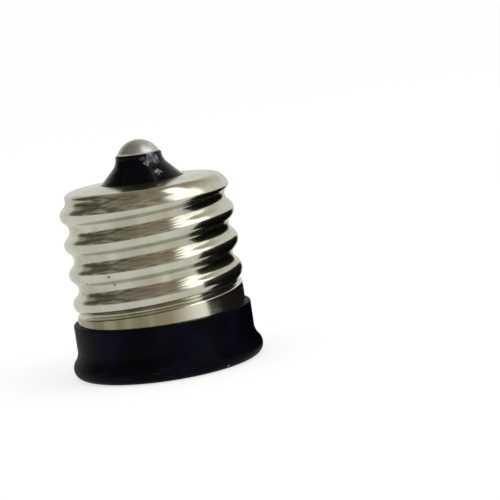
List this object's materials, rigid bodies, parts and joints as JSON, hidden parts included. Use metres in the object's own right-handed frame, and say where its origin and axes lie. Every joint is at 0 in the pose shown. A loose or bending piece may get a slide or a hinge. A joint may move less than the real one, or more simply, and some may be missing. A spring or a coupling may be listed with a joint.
{
  "type": "lamp socket adapter",
  "caption": "Metal lamp socket adapter: a fluted brass candelabra screw socket in a black moulded body, with a nickel intermediate screw cap and a centre nose contact.",
  "frame": {"origin": "centre of the mouth's bottom face, on which the part stands", "axes": "+Z along the common axis of both threads, from the lamp's mouth to the nose contact; +X and +Y across it"},
  "size_m": [0.0182, 0.0182, 0.0216],
  "materials": {
    "black_moulding": "satin collar, glossy nose",
    "nickel_plate": "polished nickel plate on rolled sheet",
    "socket_brass": "bright rolled brass",
    "contact_metal": "satin plated rivet",
    "strip_brass": "plain sheet"
  },
  "bodies": {
    "root": {"insulating_body": "black_moulding", "outer_screw_shell": "nickel_plate", "inner_screw_shell": "socket_brass", "centre_contact_rivet": "contact_metal", "link_strip": "strip_brass"}
  },
  "joints": []
}
